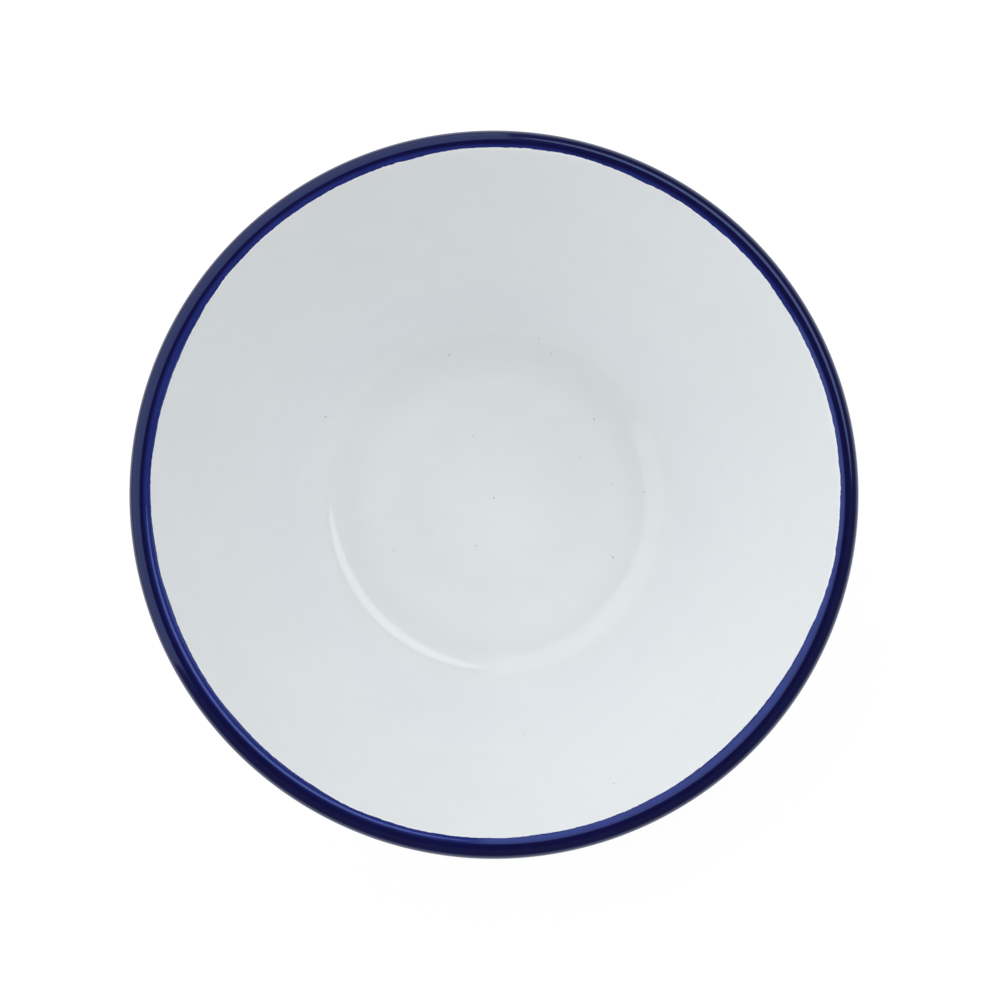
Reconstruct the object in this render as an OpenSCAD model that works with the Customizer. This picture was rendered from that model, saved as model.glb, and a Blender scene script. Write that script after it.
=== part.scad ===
// Enamel basin bowl: a pressed steel shell with a rolled bead at the rim, and the glass coats fired on to it.
// Millimetres, +Z up. The standing ring rests on Z = 0, and the axis of the bowl is the Z axis.
// All the pieces are turned from one line, the inside of the steel, moved in or out by the thicknesses,
// so that neighbouring pieces meet on the same points.

/* [Bowl] */
// Diameter over the enamelled bead
rim_d = 160; // [146:1:174]
// Height from the standing ring to the top of the bead
bowl_h = 60; // [52:1:68]
// Diameter at which the base ends and its corner begins
base_d = 66; // [56:1:74]
// Inside radius of the steel at the corner between base and wall
corner_r = 12.3; // [9:0.1:15]

/* [Base panel] */
// Width of the flat standing ring, inwards from where the corner begins
standing_ring_w = 3; // [1:0.5:5]
// Width of the gentle slope between the standing ring and the flat raised panel
slope_w = 14; // [8:1:18]
// Height by which the middle of the base is pushed up
push_up = 0.4; // [0.2:0.1:1]

/* [Rim bead] */
// Diameter of the bead over its enamel
bead_d = 5.3; // [4.8:0.1:6]
// Gap between the raw edge of the curl and the wall, which the ground coat fills
seam_gap = 0.18; // [0.1:0.01:0.26]
// Angle from the top of the bead down its inside, to the edge of the blue
blue_edge_angle = 44; // [30:1:52]

/* [Thicknesses] */
// Sheet steel
steel_t = 0.6; // [0.4:0.05:0.8]
// Ground coat
ground_t = 0.1; // [0.06:0.01:0.14]
// White cover coats
cover_t = 0.2; // [0.14:0.01:0.26]
// Blue coat on the bead
blue_t = 0.2; // [0.14:0.01:0.26]

/* [Firing marks] */
// Number of bare spots on the underside, where the bowl stood on points in the furnace
mark_count = 3; // [3:1:4]
// Diameter of a bare spot
mark_d = 2.4; // [1.6:0.1:3]
// Distance of the middle of a bare spot in from the standing ring
mark_inset = 8; // [4:0.5:12]

/* [Hidden] */
$fn = 120;
// Turn between two points of an arc, in degrees, and the least share of it left beside the ends of the arc
arc_step = 5;
least_step_share = 0.25;
// Points along the slope between the panel and the standing ring
slope_steps = 12;

// Faces of the layers, as distances from the inside of the steel. Above 0 is towards the inside of the bowl.
inside_ground = ground_t;
inside_cover = ground_t + cover_t;
outside_steel = -steel_t;
outside_ground = outside_steel - ground_t;
outside_cover = outside_ground - cover_t;

// Height of the inside of the steel over the standing ring
floor_z = -outside_cover;

// The base from its edge inwards: the inside of the standing ring, the firing marks and the edge of the panel
standing_ring_d = base_d - 2 * standing_ring_w;
mark_circle_d = standing_ring_d - 2 * mark_inset;
panel_d = standing_ring_d - 2 * slope_w;

// Centre and steel radius of the bead, and the radii of its coats
curl_r = bead_d / 2 - ground_t - blue_t;
bead_ground_r = curl_r + ground_t;
bead_white_r = bead_ground_r + cover_t;
bead_blue_r = bead_ground_r + blue_t;
bead_c = [(rim_d - bead_d) / 2, bowl_h - bead_d / 2];

// Centre of the corner. The straight wall is the line that touches both the corner and the bead.
corner_c = [base_d / 2, floor_z + corner_r];
corner_to_bead = bead_c - corner_c;
wall_tilt = atan2(corner_to_bead.y, corner_to_bead.x) + asin((corner_r + curl_r) / norm(corner_to_bead));

// Angles round the bead, from outwards and upwards. The sheet runs from wall_a, over the top, to raw_edge_a.
full_turn = 360;
top_a = full_turn / 4;
wall_a = top_a + wall_tilt;
blue_edge_a = top_a + blue_edge_angle;
raw_edge_a = wall_a - full_turn + acos((curl_r + outside_steel - seam_gap) / curl_r);

// Angle round the bead at which a coat of that radius meets the wall's outside coat, under the bead.
function crotch_a(bead_r, wall_face) = wall_a - full_turn + acos((curl_r + wall_face) / bead_r);
ground_crotch_a = crotch_a(bead_ground_r, outside_ground);
cover_crotch_a = crotch_a(bead_blue_r, outside_cover);

function reversed(points) = [for (i = [len(points) - 1 : -1 : 0]) points[i]];

function on_circle(centre, r, a) = centre + r * [cos(a), sin(a)];

// The points of an arc lie at round angles, so that its highest and outermost points are met exactly.
function arc(centre, r, from, to) =
    let (
        step = to > from ? arc_step : -arc_step,
        first = ceil(from / step + least_step_share),
        last = floor(to / step - least_step_share)
    )
    [for (a = concat([from], [for (i = [first : 1 : last]) i * step], [to])) on_circle(centre, r, a)];

function bead_point(r, a) = on_circle(bead_c, r, a);

function bead_arc(r, from, to) = arc(bead_c, r, from, to);

// Height of the base at a share of the way from the panel to the standing ring: level at both ends.
function slope_z(share) = push_up * (1 + cos(share * full_turn / 2)) / 2;

// The base and the corner of one face, from the axis to the foot of the wall.
function base_line(face) = concat(
    [[0, floor_z + push_up + face]],
    [for (i = [0 : slope_steps])
        let (share = i / slope_steps)
        [panel_d / 2 + slope_w * share, floor_z + slope_z(share) + face]],
    arc(corner_c, corner_r - face, -top_a, wall_tilt - top_a)
);

// One piece turned from the outline between two runs of points that go the same way along its two faces.
module turned(first_run, second_run) {
    rotate_extrude()
        polygon(concat(first_run, reversed(second_run)));
}

module steel_body() {
    color([0.55, 0.56, 0.58])
        turned(
            concat(base_line(0), bead_arc(curl_r, wall_a, raw_edge_a)),
            concat(base_line(outside_steel), bead_arc(curl_r + outside_steel, wall_a, raw_edge_a))
        );
}

// The ground coat goes all round the steel and fills the seam, so the hollow of the bead stays closed and empty.
module ground_coat() {
    color([0.05, 0.06, 0.09])
        turned(
            concat(
                base_line(inside_ground),
                bead_arc(bead_ground_r, wall_a, blue_edge_a),
                bead_arc(bead_ground_r, blue_edge_a, ground_crotch_a),
                reversed(base_line(outside_ground))
            ),
            concat(
                base_line(0),
                bead_arc(curl_r, wall_a, raw_edge_a),
                bead_arc(curl_r + outside_steel, raw_edge_a, wall_a - full_turn),
                reversed(base_line(outside_steel))
            )
        );
}

module inner_cover_coat() {
    color([0.92, 0.93, 0.94])
        turned(
            concat(base_line(inside_cover), bead_arc(bead_white_r, wall_a, blue_edge_a)),
            concat(base_line(inside_ground), bead_arc(bead_ground_r, wall_a, blue_edge_a))
        );
}

module firing_marks() {
    for (i = [0 : mark_count - 1])
        rotate(i * full_turn / mark_count)
            translate([mark_circle_d / 2, 0, 0])
                cylinder(h = floor_z + push_up + outside_ground, d = mark_d);
}

module outer_cover_coat() {
    color([0.92, 0.93, 0.94])
        difference() {
            turned(
                concat(base_line(outside_ground), [bead_point(bead_ground_r, ground_crotch_a)]),
                concat(base_line(outside_cover), [bead_point(bead_blue_r, cover_crotch_a)])
            );
            firing_marks();
        }
}

module rim_coat() {
    color([0.08, 0.1, 0.3])
        turned(
            bead_arc(bead_blue_r, blue_edge_a, cover_crotch_a),
            bead_arc(bead_ground_r, blue_edge_a, ground_crotch_a)
        );
}

steel_body();
ground_coat();
inner_cover_coat();
outer_cover_coat();
rim_coat();
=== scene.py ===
import math
import random
from collections import namedtuple

import bmesh
import bpy
from mathutils import Matrix, Vector, noise


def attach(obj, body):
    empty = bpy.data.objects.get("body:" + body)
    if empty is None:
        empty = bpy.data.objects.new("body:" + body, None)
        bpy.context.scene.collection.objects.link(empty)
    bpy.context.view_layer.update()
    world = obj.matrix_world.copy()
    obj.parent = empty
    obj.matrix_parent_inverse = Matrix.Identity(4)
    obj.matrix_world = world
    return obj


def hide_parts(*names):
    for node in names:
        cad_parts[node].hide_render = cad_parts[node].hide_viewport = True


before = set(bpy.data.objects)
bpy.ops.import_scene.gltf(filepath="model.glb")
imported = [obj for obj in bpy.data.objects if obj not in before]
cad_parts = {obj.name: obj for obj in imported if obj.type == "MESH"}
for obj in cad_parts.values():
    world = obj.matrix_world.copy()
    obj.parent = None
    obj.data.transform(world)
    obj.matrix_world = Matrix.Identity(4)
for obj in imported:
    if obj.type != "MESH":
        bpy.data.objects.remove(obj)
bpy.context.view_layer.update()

# Sizes of the bowl, in metres, as its solids have them
MM = 0.001
RIM_D = 160 * MM
BOWL_H = 60 * MM
BASE_D = 66 * MM
CORNER_R = 12.3 * MM
STANDING_RING_W = 3 * MM
SLOPE_W = 14 * MM
PUSH_UP = 0.4 * MM
BEAD_R = 2.65 * MM
STEEL_T = 0.6 * MM
GROUND_T = 0.1 * MM
COVER_T = 0.2 * MM
MARK_COUNT = 3
MARK_D = 2.4 * MM
MARK_INSET = 8 * MM

# Faces of the coats, as distances from the inside of the steel, positive towards the inside of the bowl
INSIDE_GROUND = GROUND_T
INSIDE_COVER = GROUND_T + COVER_T
OUTSIDE_GROUND = -STEEL_T - GROUND_T
OUTSIDE_COVER = OUTSIDE_GROUND - COVER_T

FULL_TURN = math.radians(360)
TOP = FULL_TURN / 4
FLOOR_Z = -OUTSIDE_COVER

# The base: a raised panel, a slope of two equal arcs down from it, and the flat standing ring
STANDING_RING_R = BASE_D / 2 - STANDING_RING_W
PANEL_R = STANDING_RING_R - SLOPE_W
SLOPE_R = (SLOPE_W ** 2 + PUSH_UP ** 2) / (4 * PUSH_UP)
SLOPE_TURN = math.asin(SLOPE_W / 2 / SLOPE_R)

# The wall is the line that touches both the base corner and the bead
GROUND_R = BEAD_R - COVER_T
CURL_R = GROUND_R - GROUND_T
BEAD_CENTRE = Vector((RIM_D / 2 - BEAD_R, BOWL_H - BEAD_R))
CORNER_CENTRE = Vector((BASE_D / 2, FLOOR_Z + CORNER_R))
CORNER_TO_BEAD = BEAD_CENTRE - CORNER_CENTRE
WALL_TILT = (math.atan2(CORNER_TO_BEAD.y, CORNER_TO_BEAD.x)
             + math.asin((CORNER_R + CURL_R) / CORNER_TO_BEAD.length))
UP_THE_WALL = Vector((math.cos(WALL_TILT), math.sin(WALL_TILT)))
OFF_THE_WALL = Vector((-math.sin(WALL_TILT), math.cos(WALL_TILT)))

# Runs along the inside of the bead, down from its top: to the end of the curve, to the edge of the blue
# before it is drawn, and to where the drawing of that edge moves nothing any more
EDGE_TURN = math.radians(44)
WALL_RUN = BEAD_R * WALL_TILT
EDGE_RUN = BEAD_R * EDGE_TURN
STILL_RUN = 4.2 * MM

# How far the blue reaches down the inside of the bead, in millimetres, by degrees round the rim from +X
BLUE_REACH = [
    (0, 1.62), (15, 1.60), (33, 1.74), (41, 1.50), (48, 1.60), (60, 1.50), (64, 1.75), (70, 1.52), (76, 1.27),
    (84, 1.40), (93, 1.47), (99, 1.62), (103, 1.86), (120, 1.96), (140, 1.97), (146, 2.22), (151, 2.54),
    (158, 2.66), (171, 2.59), (176, 2.38), (183, 2.60), (189, 2.92), (193, 2.80), (198, 3.16), (206, 3.08),
    (215, 2.85), (222, 3.02), (230, 2.75), (238, 2.68), (243, 2.25), (262, 2.20), (273, 2.30), (278, 2.50),
    (290, 2.47), (297, 2.58), (304, 2.75), (315, 2.98), (324, 2.93), (328, 2.70), (336, 2.46), (340, 2.02),
    (345, 1.78), (349, 1.58), (355, 1.70), (360, 1.62),
]

# Height of the fine unevenness of that edge, and how fine its waves are
RAGGED = 0.1 * MM
RAGGED_WAVES = (16, 45, 110)

# Parts round the axis, fine where the drawn edge runs and coarser outside, made a sector at a time
FINE_PARTS = 1740
COARSE_PARTS = 360
SECTORS = 12
MERGE_DISTANCE = 0.005 * MM

# Parts along the faces of a white coat, where they show and where they lie on the ground coat
Fineness = namedtuple("Fineness", "slope corner wall")
INSIDE_SHOWN = Fineness(slope=4, corner=20, wall=3)
INSIDE_HIDDEN = Fineness(slope=1, corner=6, wall=1)
OUTSIDE_SHOWN = Fineness(slope=4, corner=24, wall=4)
OUTSIDE_HIDDEN = Fineness(slope=1, corner=8, wall=1)

# Parts along the zone of the drawn edge, on the wall and on the bead, and along a quarter of the blue
EDGE_PARTS = 3
BLUE_SHOWN = 8
BLUE_HIDDEN = 2

PIN_SIDES = 48
SHARP_ANGLE = math.radians(40)


def on_circle(centre, radius, angle):
    return centre + radius * Vector((math.cos(angle), math.sin(angle)))


class Section:
    """The outline of a coat in the XZ plane, drawn as with a pen and then turned round the bowl's axis."""

    def __init__(self):
        self.bm = bmesh.new()
        self.tip = None

    def start(self, point):
        self.tip = self.bm.verts.new((point.x, 0, point.y))
        return self.tip

    def line(self, end, parts=1):
        step = (Vector((end.x, 0, end.y)) - self.tip.co) / parts
        for _ in range(parts):
            grown = bmesh.ops.extrude_vert_indiv(self.bm, verts=[self.tip])
            self.tip = grown["verts"][0]
            bmesh.ops.translate(self.bm, verts=[self.tip], vec=step)
        return self.tip

    def arc(self, centre, turn, parts):
        swept = bmesh.ops.spin(self.bm, geom=[self.tip], cent=(centre.x, 0, centre.y), axis=(0, -1, 0),
                               angle=turn, steps=parts)
        self.tip = next(item for item in swept["geom_last"] if isinstance(item, bmesh.types.BMVert))
        return self.tip

    def base(self, face, parts):
        """The base and its corner, from the axis to the foot of the wall."""
        ring_z = FLOOR_Z + face
        panel_z = ring_z + PUSH_UP
        self.start(Vector((0, panel_z)))
        self.line(Vector((PANEL_R, panel_z)))
        self.arc(Vector((PANEL_R, panel_z - SLOPE_R)), -SLOPE_TURN, parts.slope)
        self.arc(Vector((STANDING_RING_R, ring_z + SLOPE_R)), SLOPE_TURN, parts.slope)
        self.line(Vector((BASE_D / 2, ring_z)))
        return self.arc(CORNER_CENTRE, WALL_TILT, parts.corner)

    def join(self, first, second):
        self.bm.edges.new((first, second))

    def turned(self, parts):
        bm = self.bm
        sector = FULL_TURN / SECTORS
        bmesh.ops.spin(bm, geom=bm.verts[:] + bm.edges[:], cent=(0, 0, 0), axis=(0, 0, 1),
                       angle=sector, steps=parts // SECTORS)
        bmesh.ops.spin(bm, geom=bm.verts[:] + bm.edges[:] + bm.faces[:], cent=(0, 0, 0), axis=(0, 0, 1),
                       angle=FULL_TURN - sector, steps=SECTORS - 1, use_duplicate=True)
        bmesh.ops.remove_doubles(bm, verts=bm.verts[:], dist=MERGE_DISTANCE)
        bmesh.ops.recalc_face_normals(bm, faces=bm.faces[:])
        return bm


def blue_reach(azimuth):
    """How far the blue reaches down at an angle round the rim: the drawn line, and a fine unevenness."""
    degrees = math.degrees(azimuth) % 360
    for (low, low_reach), (high, high_reach) in zip(BLUE_REACH, BLUE_REACH[1:]):
        if degrees <= high:
            share = (degrees - low) / (high - low)
            drawn = low_reach + (high_reach - low_reach) * share * share * (3 - 2 * share)
            break
    way = Vector((math.cos(azimuth), math.sin(azimuth), 0))
    return drawn * MM + RAGGED * sum(noise.noise(way * waves) for waves in RAGGED_WAVES)


def redrawn_run(run, azimuth):
    """The run at which a point of the plain bead comes to lie when the blue's edge is drawn."""
    reach = blue_reach(azimuth)
    if run <= EDGE_RUN:
        return run * reach / EDGE_RUN
    return STILL_RUN - (STILL_RUN - run) * (STILL_RUN - reach) / (STILL_RUN - EDGE_RUN)


def draw_blue_edge(bm):
    """Moves the rings near the edge of the blue along the inside of the bead, alike on both coats."""
    for vert in bm.verts:
        radius = math.hypot(vert.co.x, vert.co.y)
        out = Vector((radius, vert.co.z)) - BEAD_CENTRE
        turn = math.atan2(out.y, out.x) - TOP
        if turn <= 0:
            continue
        if turn < WALL_TILT:
            run, height = turn * BEAD_R, out.length
        else:
            run, height = WALL_RUN - out.dot(UP_THE_WALL), out.dot(OFF_THE_WALL)
        if run >= STILL_RUN:
            continue
        azimuth = math.atan2(vert.co.y, vert.co.x)
        run = redrawn_run(run, azimuth)
        if run < WALL_RUN:
            point = on_circle(BEAD_CENTRE, height, TOP + run / BEAD_R)
        else:
            point = BEAD_CENTRE + height * OFF_THE_WALL - (run - WALL_RUN) * UP_THE_WALL
        vert.co = (point.x * math.cos(azimuth), point.x * math.sin(azimuth), point.y)


def inner_white_coat():
    section = Section()
    ends = []
    for face, parts in ((INSIDE_COVER, INSIDE_SHOWN), (INSIDE_GROUND, INSIDE_HIDDEN)):
        section.base(face, parts)
        bead_end = BEAD_CENTRE + (CURL_R + face) * OFF_THE_WALL
        section.line(bead_end - (STILL_RUN - WALL_RUN) * UP_THE_WALL, parts.wall)
        section.line(bead_end, EDGE_PARTS)
        ends.append(section.arc(BEAD_CENTRE, EDGE_TURN - WALL_TILT, EDGE_PARTS))
    section.join(*ends)
    bm = section.turned(FINE_PARTS)
    draw_blue_edge(bm)
    return bm


def crotch_turn(bead_r, wall_face):
    """The turn round the bead at which a coat on it meets the coat of the wall, under the bead."""
    return TOP + WALL_TILT - FULL_TURN + math.acos((CURL_R + wall_face) / bead_r)


COVER_CROTCH = crotch_turn(BEAD_R, OUTSIDE_COVER)
GROUND_CROTCH = crotch_turn(GROUND_R, OUTSIDE_GROUND)


def outer_white_coat():
    section = Section()
    ends = []
    for face, parts, radius, crotch in ((OUTSIDE_COVER, OUTSIDE_SHOWN, BEAD_R, COVER_CROTCH),
                                        (OUTSIDE_GROUND, OUTSIDE_HIDDEN, GROUND_R, GROUND_CROTCH)):
        section.base(face, parts)
        ends.append(section.line(on_circle(BEAD_CENTRE, radius, crotch), parts.wall))
    section.join(*ends)
    return section.turned(COARSE_PARTS)


def blue_rim_coat():
    section = Section()
    starts, ends = [], []
    for radius, crotch, parts in ((BEAD_R, COVER_CROTCH, BLUE_SHOWN), (GROUND_R, GROUND_CROTCH, BLUE_HIDDEN)):
        starts.append(section.start(on_circle(BEAD_CENTRE, radius, TOP + EDGE_TURN)))
        section.arc(BEAD_CENTRE, -EDGE_TURN, parts)
        section.arc(BEAD_CENTRE, -TOP, parts)
        ends.append(section.arc(BEAD_CENTRE, crotch, parts * 2))
    section.join(*starts)
    section.join(*ends)
    bm = section.turned(FINE_PARTS)
    draw_blue_edge(bm)
    return bm


def firing_pins():
    """The points that the bowl stands on in the furnace, each of which leaves a bare spot."""
    bm = bmesh.new()
    for i in range(MARK_COUNT):
        azimuth = i * FULL_TURN / MARK_COUNT
        way = Vector((math.cos(azimuth), math.sin(azimuth), 0))
        bmesh.ops.create_cone(bm, cap_ends=True, segments=PIN_SIDES, radius1=MARK_D / 2, radius2=MARK_D / 2,
                              depth=2 * (PUSH_UP + COVER_T),
                              matrix=Matrix.Translation(way * (STANDING_RING_R - MARK_INSET)))
    return bm


def made(name, bm):
    mesh = bpy.data.meshes.new(name)
    bm.to_mesh(mesh)
    bm.free()
    piece = bpy.data.objects.new(name, mesh)
    bpy.context.scene.collection.objects.link(piece)
    return piece


def smoothed(piece):
    piece.data.polygons.foreach_set("use_smooth", [True] * len(piece.data.polygons))
    piece.data.set_sharp_from_angle(angle=SHARP_ANGLE)
    return piece


def cut_through(piece, cutter):
    """Cuts one mesh out of another and removes it."""
    cut = piece.modifiers.new("cut", "BOOLEAN")
    cut.operation = "DIFFERENCE"
    cut.object = cutter
    graph = bpy.context.evaluated_depsgraph_get()
    mesh = bpy.data.meshes.new_from_object(piece.evaluated_get(graph))
    piece.modifiers.clear()
    piece.data = mesh
    mesh.name = piece.name
    bpy.data.objects.remove(cutter)


class Wire:
    """A socket in a node tree. Sums on wires and numbers become Math nodes."""

    def __init__(self, tree, socket=None):
        self.tree = tree
        self.socket = socket

    def node(self, kind, settings=None, inputs=None, output=0):
        """A new node: its settings are set first, then the values or wires of its sockets."""
        new = self.tree.nodes.new(kind)
        for name, value in (settings or {}).items():
            setattr(new, name, value)
        for name, value in (inputs or {}).items():
            if isinstance(value, Wire):
                self.tree.links.new(value.socket, new.inputs[name])
            else:
                new.inputs[name].default_value = value
        return Wire(self.tree, new.outputs[output])

    def math(self, operation, *values):
        return self.node("ShaderNodeMath", {"operation": operation}, dict(enumerate(values)))

    def __add__(self, other):
        return self.math("ADD", self, other)

    def __sub__(self, other):
        return self.math("SUBTRACT", self, other)

    def __rsub__(self, other):
        return self.math("SUBTRACT", other, self)

    def __mul__(self, other):
        return self.math("MULTIPLY", self, other)

    __radd__ = __add__
    __rmul__ = __mul__


def place_on(tree):
    return Wire(tree).node("ShaderNodeTexCoord", output="Object")


def clouds(place, scale, detail=2, offset=0):
    """Soft noise from 0 to 1, with about so many patches to a metre."""
    moved = place.node("ShaderNodeVectorMath", {"operation": "ADD"}, {0: place, 1: (offset, offset, offset)})
    return moved.node("ShaderNodeTexNoise", inputs={"Vector": moved, "Scale": scale, "Detail": detail})


def band(value, low, high):
    """A soft step from 0 at low to 1 at high."""
    return value.node("ShaderNodeMapRange", {"interpolation_type": "SMOOTHSTEP"},
                      {"Value": value, "From Min": low, "From Max": high})


def patches(noise_value):
    """Noise made stronger, so that it covers the whole way from 0 to 1."""
    return band(noise_value, low=0.3, high=0.7)


def spread(share, start, end):
    """A value that goes from start to end as the share goes from 0 to 1."""
    return start + (end - start) * share


def mixed(share, first, second):
    return share.node("ShaderNodeMix", {"data_type": "RGBA"}, {0: share, 6: first, 7: second}, output=2)


def rgb(red, green, blue):
    return (red, green, blue, 1)


def bumped(height_mm):
    return height_mm.node("ShaderNodeBump", inputs={"Strength": 1, "Distance": MM, "Height": height_mm})


# Colours, each with its darker and its lighter patches
WHITE = rgb(0.800, 0.832, 0.852), rgb(0.826, 0.856, 0.874)
# Whiter glaze of the inside corner, where the coat pools thicker and where light is painted on to lift the
# corner's shade
GATHERED_AND_LIT_WHITE = rgb(0.848, 0.880, 0.900), rgb(0.874, 0.904, 0.922)
DEEP_BLUE = rgb(0.0040, 0.0034, 0.040), rgb(0.0060, 0.0055, 0.056)
COBALT_BLUE = rgb(0.0115, 0.0185, 0.148), rgb(0.0165, 0.0275, 0.200)
GROUND_BLACK = rgb(0.010, 0.011, 0.020), rgb(0.045, 0.048, 0.062)
STEEL_GREY = rgb(0.42, 0.43, 0.44), rgb(0.55, 0.55, 0.56)

# Grey of the bottom of a pinhole, and the tint of the blue's gloss
PINHOLE_GREY = rgb(0.22, 0.23, 0.24)
BLUE_GLOSS = rgb(0.38, 0.52, 1.0)

# Distances from the axis between which the whiter colour of the inside corner, thicker glaze with painted
# light over it to lift the corner's shade, fades out up the wall
LIT_CORNER_FULL_R = 37 * MM
LIT_CORNER_END_R = 50 * MM

# Distances from the axis between which the blue thickens, from the inside of the bead towards its top
BLUE_THIN_R = BEAD_CENTRE.x - 0.5 * BEAD_R
BLUE_DEEP_R = BEAD_CENTRE.x - 0.1 * BEAD_R


def new_finish(name, constants=None):
    """An empty finish: the material, the place on its surface and a way to wire its shader."""
    material = bpy.data.materials.new(name)
    material.use_nodes = True
    shader = material.node_tree.nodes["Principled BSDF"]
    for socket, value in (constants or {}).items():
        shader.inputs[socket].default_value = value

    def wire(**links):
        for socket, value in links.items():
            material.node_tree.links.new(value.socket, shader.inputs[socket.replace("_", " ")])

    return material, place_on(material.node_tree), wire


def nearest_pinhole(place, pinholes):
    """Distance to the nearest pinhole, with the radius of that pinhole as its unit."""
    nearest = None
    for point, radius in pinholes:
        gap = place.node("ShaderNodeVectorMath", {"operation": "DISTANCE"}, {0: place, 1: point},
                         output="Value") * (1 / radius)
        nearest = gap if nearest is None else nearest.math("MINIMUM", nearest, gap)
    return nearest


def from_axis(place):
    flat = place.node("ShaderNodeVectorMath", {"operation": "MULTIPLY"}, {0: place, 1: (1, 1, 0)})
    return flat.node("ShaderNodeVectorMath", {"operation": "LENGTH"}, {0: flat}, output="Value")


def white_enamel(name, pinholes, gathered_and_lit=False):
    """White enamel. In the inside corner, where the wet coat pools thicker, it is a little whiter, and that
    whiteness is also painted light that lifts the shade of the corner.
    """
    material, place, wire = new_finish(name, {"IOR": 1.52})
    drift_share, spot_share, spot_roughness = 0.6, 0.75, 0.3
    ripple_mm, grain_mm, hole_mm = 0.02, 0.0015, 0.02
    tone = patches(drift_share * clouds(place, scale=22)
                   + (1 - drift_share) * clouds(place, scale=160, detail=4, offset=3))
    glaze = mixed(tone, *WHITE)
    if gathered_and_lit:
        # Painted light: the inside corner, where the coat pools, is painted whiter to lift the shade that
        # falls there
        radius = from_axis(place)
        thick = band(radius, PANEL_R, STANDING_RING_R) * (1 - band(radius, LIT_CORNER_FULL_R, LIT_CORNER_END_R))
        glaze = mixed(thick, glaze, mixed(tone, *GATHERED_AND_LIT_WHITE))
    spot = 1 - band(nearest_pinhole(place, pinholes), low=0.35, high=1.1)
    wire(
        Base_Color=mixed(spot * spot_share, glaze, PINHOLE_GREY),
        Roughness=(spread(clouds(place, scale=90, detail=3, offset=7), start=0.05, end=0.1)
                   + spot_roughness * spot),
        Normal=bumped(ripple_mm * clouds(place, scale=45, detail=1, offset=5)
                      + grain_mm * clouds(place, scale=650) - hole_mm * spot),
    )
    return material


def blue_enamel(name):
    """Blue enamel, nearly black where it is thick and cobalt where it thins out on the inside of the bead."""
    material, place, wire = new_finish(name, {"IOR": 1.72, "Specular Tint": BLUE_GLOSS})
    drift_share = 0.5
    ripple_mm, grain_mm = 0.012, 0.0015
    tone = patches(drift_share * clouds(place, scale=35, offset=11)
                   + (1 - drift_share) * clouds(place, scale=260, detail=4, offset=13))
    thin = 1 - band(from_axis(place), BLUE_THIN_R, BLUE_DEEP_R)
    wire(
        Base_Color=mixed(thin, mixed(tone, *DEEP_BLUE), mixed(tone, *COBALT_BLUE)),
        Roughness=spread(clouds(place, scale=120, detail=3, offset=17), start=0.06, end=0.12),
        Normal=bumped(ripple_mm * clouds(place, scale=70, detail=1, offset=19)
                      + grain_mm * clouds(place, scale=700, offset=23)),
    )
    return material


def ground_enamel(name):
    """Dark ground enamel with fine pale specks."""
    material, place, wire = new_finish(name, {"IOR": 1.5})
    grain_mm = 0.01
    speck = band(clouds(place, scale=2600, offset=29), low=0.52, high=0.66)
    wire(
        Base_Color=mixed(speck, *GROUND_BLACK),
        Roughness=spread(clouds(place, scale=900, detail=3, offset=31), start=0.25, end=0.5),
        Normal=bumped(grain_mm * clouds(place, scale=1500, offset=37)),
    )
    return material


def sheet_steel(name):
    """Bare sheet steel, as rolled, with a slight stain."""
    material, place, wire = new_finish(name, {"Metallic": 1})
    grain_mm = 0.002
    mill = clouds(place, scale=1200, detail=3, offset=41)
    stain = patches(clouds(place, scale=60, detail=4, offset=43))
    wire(
        Base_Color=mixed(stain, *STEEL_GREY),
        Roughness=spread(mill, start=0.32, end=0.52),
        Normal=bumped(grain_mm * mill),
    )
    return material


def inside_height(radius):
    """Height of the finished inside of the bowl at a distance from its axis."""
    ring_z = FLOOR_Z + INSIDE_COVER
    corner_r = CORNER_R - INSIDE_COVER
    if radius < BASE_D / 2:
        return ring_z + PUSH_UP * (1 - min(1, max(0, (radius - PANEL_R) / SLOPE_W)))
    foot = CORNER_CENTRE - corner_r * OFF_THE_WALL
    if radius < foot.x:
        return CORNER_CENTRE.y - math.sqrt(corner_r ** 2 - (radius - CORNER_CENTRE.x) ** 2)
    return foot.y + (radius - foot.x) * math.tan(WALL_TILT)


# Pinholes in the inside coat, by X and Y and radius in millimetres
INSIDE_PINHOLES = [
    (-39.2, 20.1, 0.30), (-10.7, 34.9, 0.22), (23.1, 19.9, 0.22), (27.4, 4.9, 0.16), (34.6, 3.0, 0.20),
    (-0.3, 1.6, 0.25), (-4.4, -9.6, 0.20), (-23.6, -10.6, 0.18), (27.5, -12.3, 0.23), (6.8, -53.2, 0.20),
    (26.4, -63.7, 0.20), (2.1, 4.8, 0.14), (19.7, 11.2, 0.15), (-5.1, 16.0, 0.16), (10.2, 38.6, 0.20),
    (13.1, 35.2, 0.17),
]

# Pinholes in the outside coat: their number, and in millimetres how far up the wall and how large they may be
OUTSIDE_PINHOLES = 14
OUTSIDE_PINHOLE_RISES = 2, 36
OUTSIDE_PINHOLE_RADII = 0.18, 0.3
SCATTER_SEED = 5


def inside_pinholes():
    """Each pinhole of the inside coat as a point on its surface and a radius."""
    return [((x * MM, y * MM, inside_height(math.hypot(x, y) * MM)), radius * MM)
            for x, y, radius in INSIDE_PINHOLES]


def outside_pinholes():
    """Pinholes scattered over the outside of the wall."""
    scatter = random.Random(SCATTER_SEED)
    holes = []
    foot = CORNER_CENTRE - (CORNER_R - OUTSIDE_COVER) * OFF_THE_WALL
    for _ in range(OUTSIDE_PINHOLES):
        azimuth = scatter.uniform(0, FULL_TURN)
        point = foot + scatter.uniform(*OUTSIDE_PINHOLE_RISES) * MM * UP_THE_WALL
        holes.append(((point.x * math.cos(azimuth), point.x * math.sin(azimuth), point.y),
                      scatter.uniform(*OUTSIDE_PINHOLE_RADII) * MM))
    return holes


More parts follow.
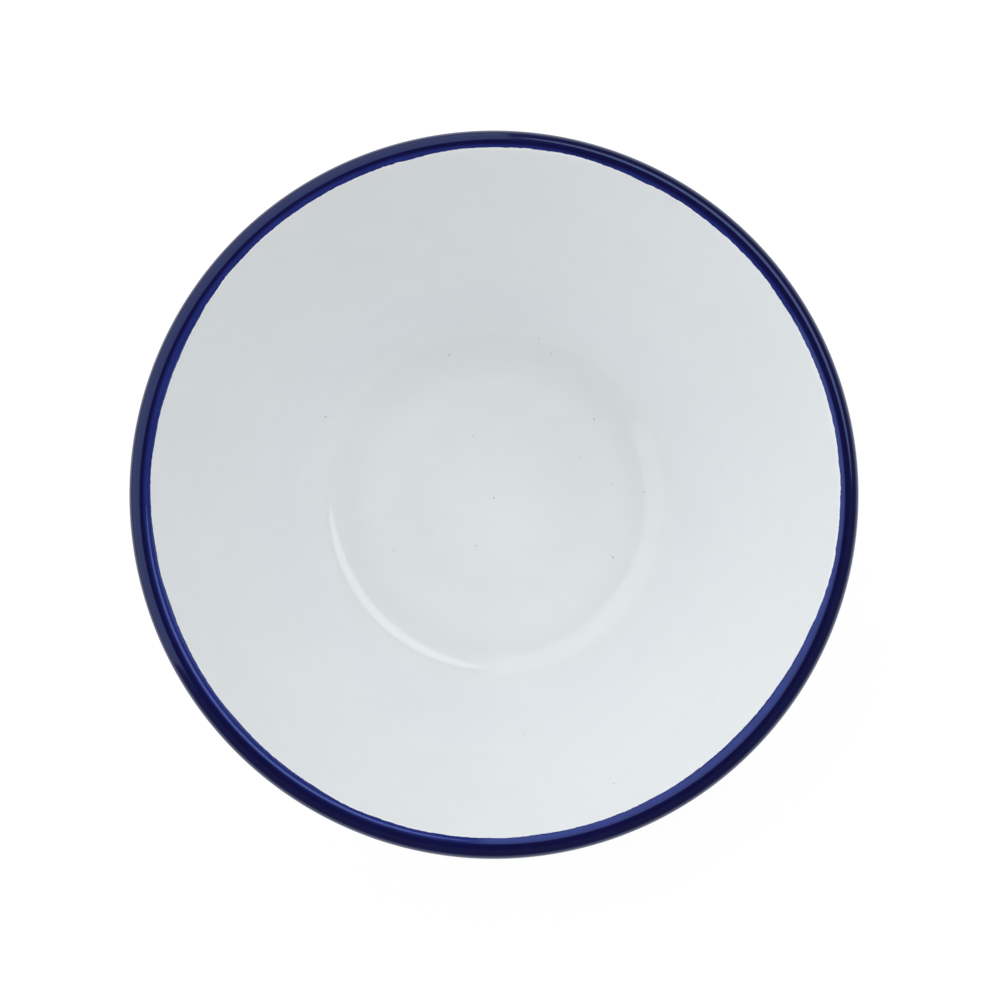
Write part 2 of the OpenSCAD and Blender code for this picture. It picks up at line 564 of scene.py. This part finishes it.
def dress():
    inner = smoothed(made("inner_white_coat", inner_white_coat()))
    outer = made("outer_white_coat", outer_white_coat())
    cut_through(outer, made("firing_pins", firing_pins()))
    smoothed(outer)
    rim = smoothed(made("blue_rim_coat", blue_rim_coat()))
    inside_white = white_enamel("inside white enamel", inside_pinholes(), gathered_and_lit=True)
    outside_white = white_enamel("outside white enamel", outside_pinholes())
    rim_blue = blue_enamel("blue rim enamel")
    for piece, node, slot, finish in (
        (inner, "inner_cover_coat", "white_enamel", inside_white),
        (outer, "outer_cover_coat", "white_enamel", outside_white),
        (rim, "rim_coat", "blue_enamel", rim_blue),
    ):
        piece.data.materials.clear()
        piece.data.materials.append(finish)
        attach(piece, "root")
        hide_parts(node)
    for node, finish in (
        ("steel_body", sheet_steel("sheet steel")),
        ("ground_coat", ground_enamel("ground enamel")),
    ):
        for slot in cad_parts[node].material_slots:
            slot.material = finish


def floor(size, drop):
    """A pale floor just under the bowl. Camera, gloss and transmission rays see it with a painted glow, white
    near the bowl and dimmer further out, and it keeps a soft shadow of the bowl.
    """
    bm = bmesh.new()
    bmesh.ops.create_grid(bm, x_segments=1, y_segments=1, size=size,
                          matrix=Matrix.Translation((0, 0, -drop)))
    plane = made("floor", bm)
    material = bpy.data.materials.new("pale floor")
    material.use_nodes = True
    tree = material.node_tree
    tree.nodes.clear()
    start = Wire(tree)
    pale = start.node("ShaderNodeBsdfDiffuse", inputs={"Color": rgb(0.8, 0.8, 0.8)})
    soft = start.node("ShaderNodeBsdfDiffuse", inputs={"Color": rgb(0.3, 0.3, 0.3)})
    far = start.node("ShaderNodeVectorMath", {"operation": "LENGTH"}, {0: place_on(tree)}, output="Value")
    # Painted glow of the floor: white near the bowl, dimmer further out
    glow = spread(band(far, low=0.17, high=0.42), start=0.78, end=0.28)
    white = start.node("ShaderNodeEmission", inputs={"Color": glow, "Strength": 1})
    shown = start.node("ShaderNodeAddShader", inputs={0: soft, 1: white})
    seen = None
    for ray in ("Is Camera Ray", "Is Glossy Ray", "Is Transmission Ray"):
        kind = start.node("ShaderNodeLightPath", output=ray)
        seen = kind if seen is None else seen.math("MAXIMUM", seen, kind)
    surface = start.node("ShaderNodeMixShader", inputs={0: seen, 1: pale, 2: shown})
    output = tree.nodes.new("ShaderNodeOutputMaterial")
    tree.links.new(surface.socket, output.inputs["Surface"])
    plane.data.materials.append(material)


def way_to(azimuth, zenith):
    around, down = math.radians(azimuth), math.radians(zenith)
    return Vector((math.sin(down) * math.cos(around), math.sin(down) * math.sin(around), math.cos(down)))


def soft_lamp(name, shape, azimuth, zenith, distance, width, height, radiance, upright=False):
    """A lamp that faces the rim, or that stands upright in that direction."""
    lamp = bpy.data.lights.new(name, "AREA")
    lamp.shape = shape
    lamp.size, lamp.size_y = width, height
    area = width * height * (math.pi / 4 if shape == "ELLIPSE" else 1)
    lamp.energy = radiance * math.pi * area
    holder = bpy.data.objects.new(name, lamp)
    way = way_to(azimuth, zenith)
    holder.location = way * distance + Vector((0, 0, BOWL_H))
    holder.rotation_mode = "QUATERNION"
    faced = Vector((way.x, way.y, 0)) if upright else way
    holder.rotation_quaternion = faced.to_track_quat("Z", "Y")
    bpy.context.scene.collection.objects.link(holder)


def zenith_band(height, outer, inner):
    """A soft step from 0 at the outer angle from straight up to 1 at the inner one, in degrees."""
    return band(height, math.cos(math.radians(outer)), math.cos(math.radians(inner)))


def room(low, high, front, window, overhead, mirrored):
    """A pale room, brighter higher up at the front, dark overhead and behind the window, dim in the gloss."""
    world = bpy.data.worlds.new("pale room")
    bpy.context.scene.world = world
    world.use_nodes = True
    tree = world.node_tree
    start = Wire(tree)
    way = start.node("ShaderNodeTexCoord", output="Generated")
    height = start.node("ShaderNodeSeparateXYZ", inputs={0: way}, output="Z")
    depth = start.node("ShaderNodeSeparateXYZ", inputs={0: way}, output="Y")
    toward = start.node("ShaderNodeVectorMath", {"operation": "DOT_PRODUCT"},
                        {0: way, 1: way_to(azimuth=window, zenith=90)}, output="Value")
    gloss = start.node("ShaderNodeLightPath", output="Is Glossy Ray")
    up = zenith_band(height, outer=68, inner=52)
    above = zenith_band(height, outer=35, inner=16)
    fill = (low + (high - low - front * depth) * up) * (1 - band(toward, low=0.6, high=1))
    shade = spread(gloss, start=fill, end=mirrored)
    shade = spread(above, start=shade, end=overhead)
    grey = start.node("ShaderNodeCombineColor", inputs={0: shade, 1: shade, 2: shade})
    tree.links.new(grey.socket, tree.nodes["Background"].inputs["Color"])


def camera(distance, azimuth, zenith, aim_x, aim_y, sensor_width, focal_length):
    """The photograph's view: nearly straight down, a little from the front, aimed beside the rim's centre."""
    rim_centre = Vector((0, 0, BEAD_CENTRE.y))
    eye = rim_centre + distance * way_to(azimuth, zenith)
    back = (eye - rim_centre - Vector((aim_x, aim_y, 0))).normalized()
    right = Vector((0, 1, 0)).cross(back).normalized()
    turn = Matrix((right, back.cross(right), back)).transposed()
    lens = bpy.data.cameras.new("camera")
    lens.sensor_width = sensor_width
    lens.lens = focal_length
    holder = bpy.data.objects.new("camera", lens)
    holder.matrix_world = Matrix.Translation(eye) @ turn.to_4x4()
    bpy.context.scene.collection.objects.link(holder)
    bpy.context.scene.camera = holder


dress()
floor(size=3, drop=GROUND_T)
soft_lamp("window", "RECTANGLE", azimuth=147, zenith=29, distance=1.23, width=1.98, height=2.15,
          radiance=0.94, upright=True)
soft_lamp("strip", "ELLIPSE", azimuth=46, zenith=45, distance=0.9, width=1.08, height=0.36, radiance=2.1)
room(low=0.44, high=0.86, front=0.42, window=140, overhead=0.05, mirrored=0.15)
camera(distance=0.9, azimuth=-84, zenith=2.7, aim_x=1.35 * MM, aim_y=-1.47 * MM,
       sensor_width=36, focal_length=147.7)
bpy.context.scene.view_settings.view_transform = "Standard"
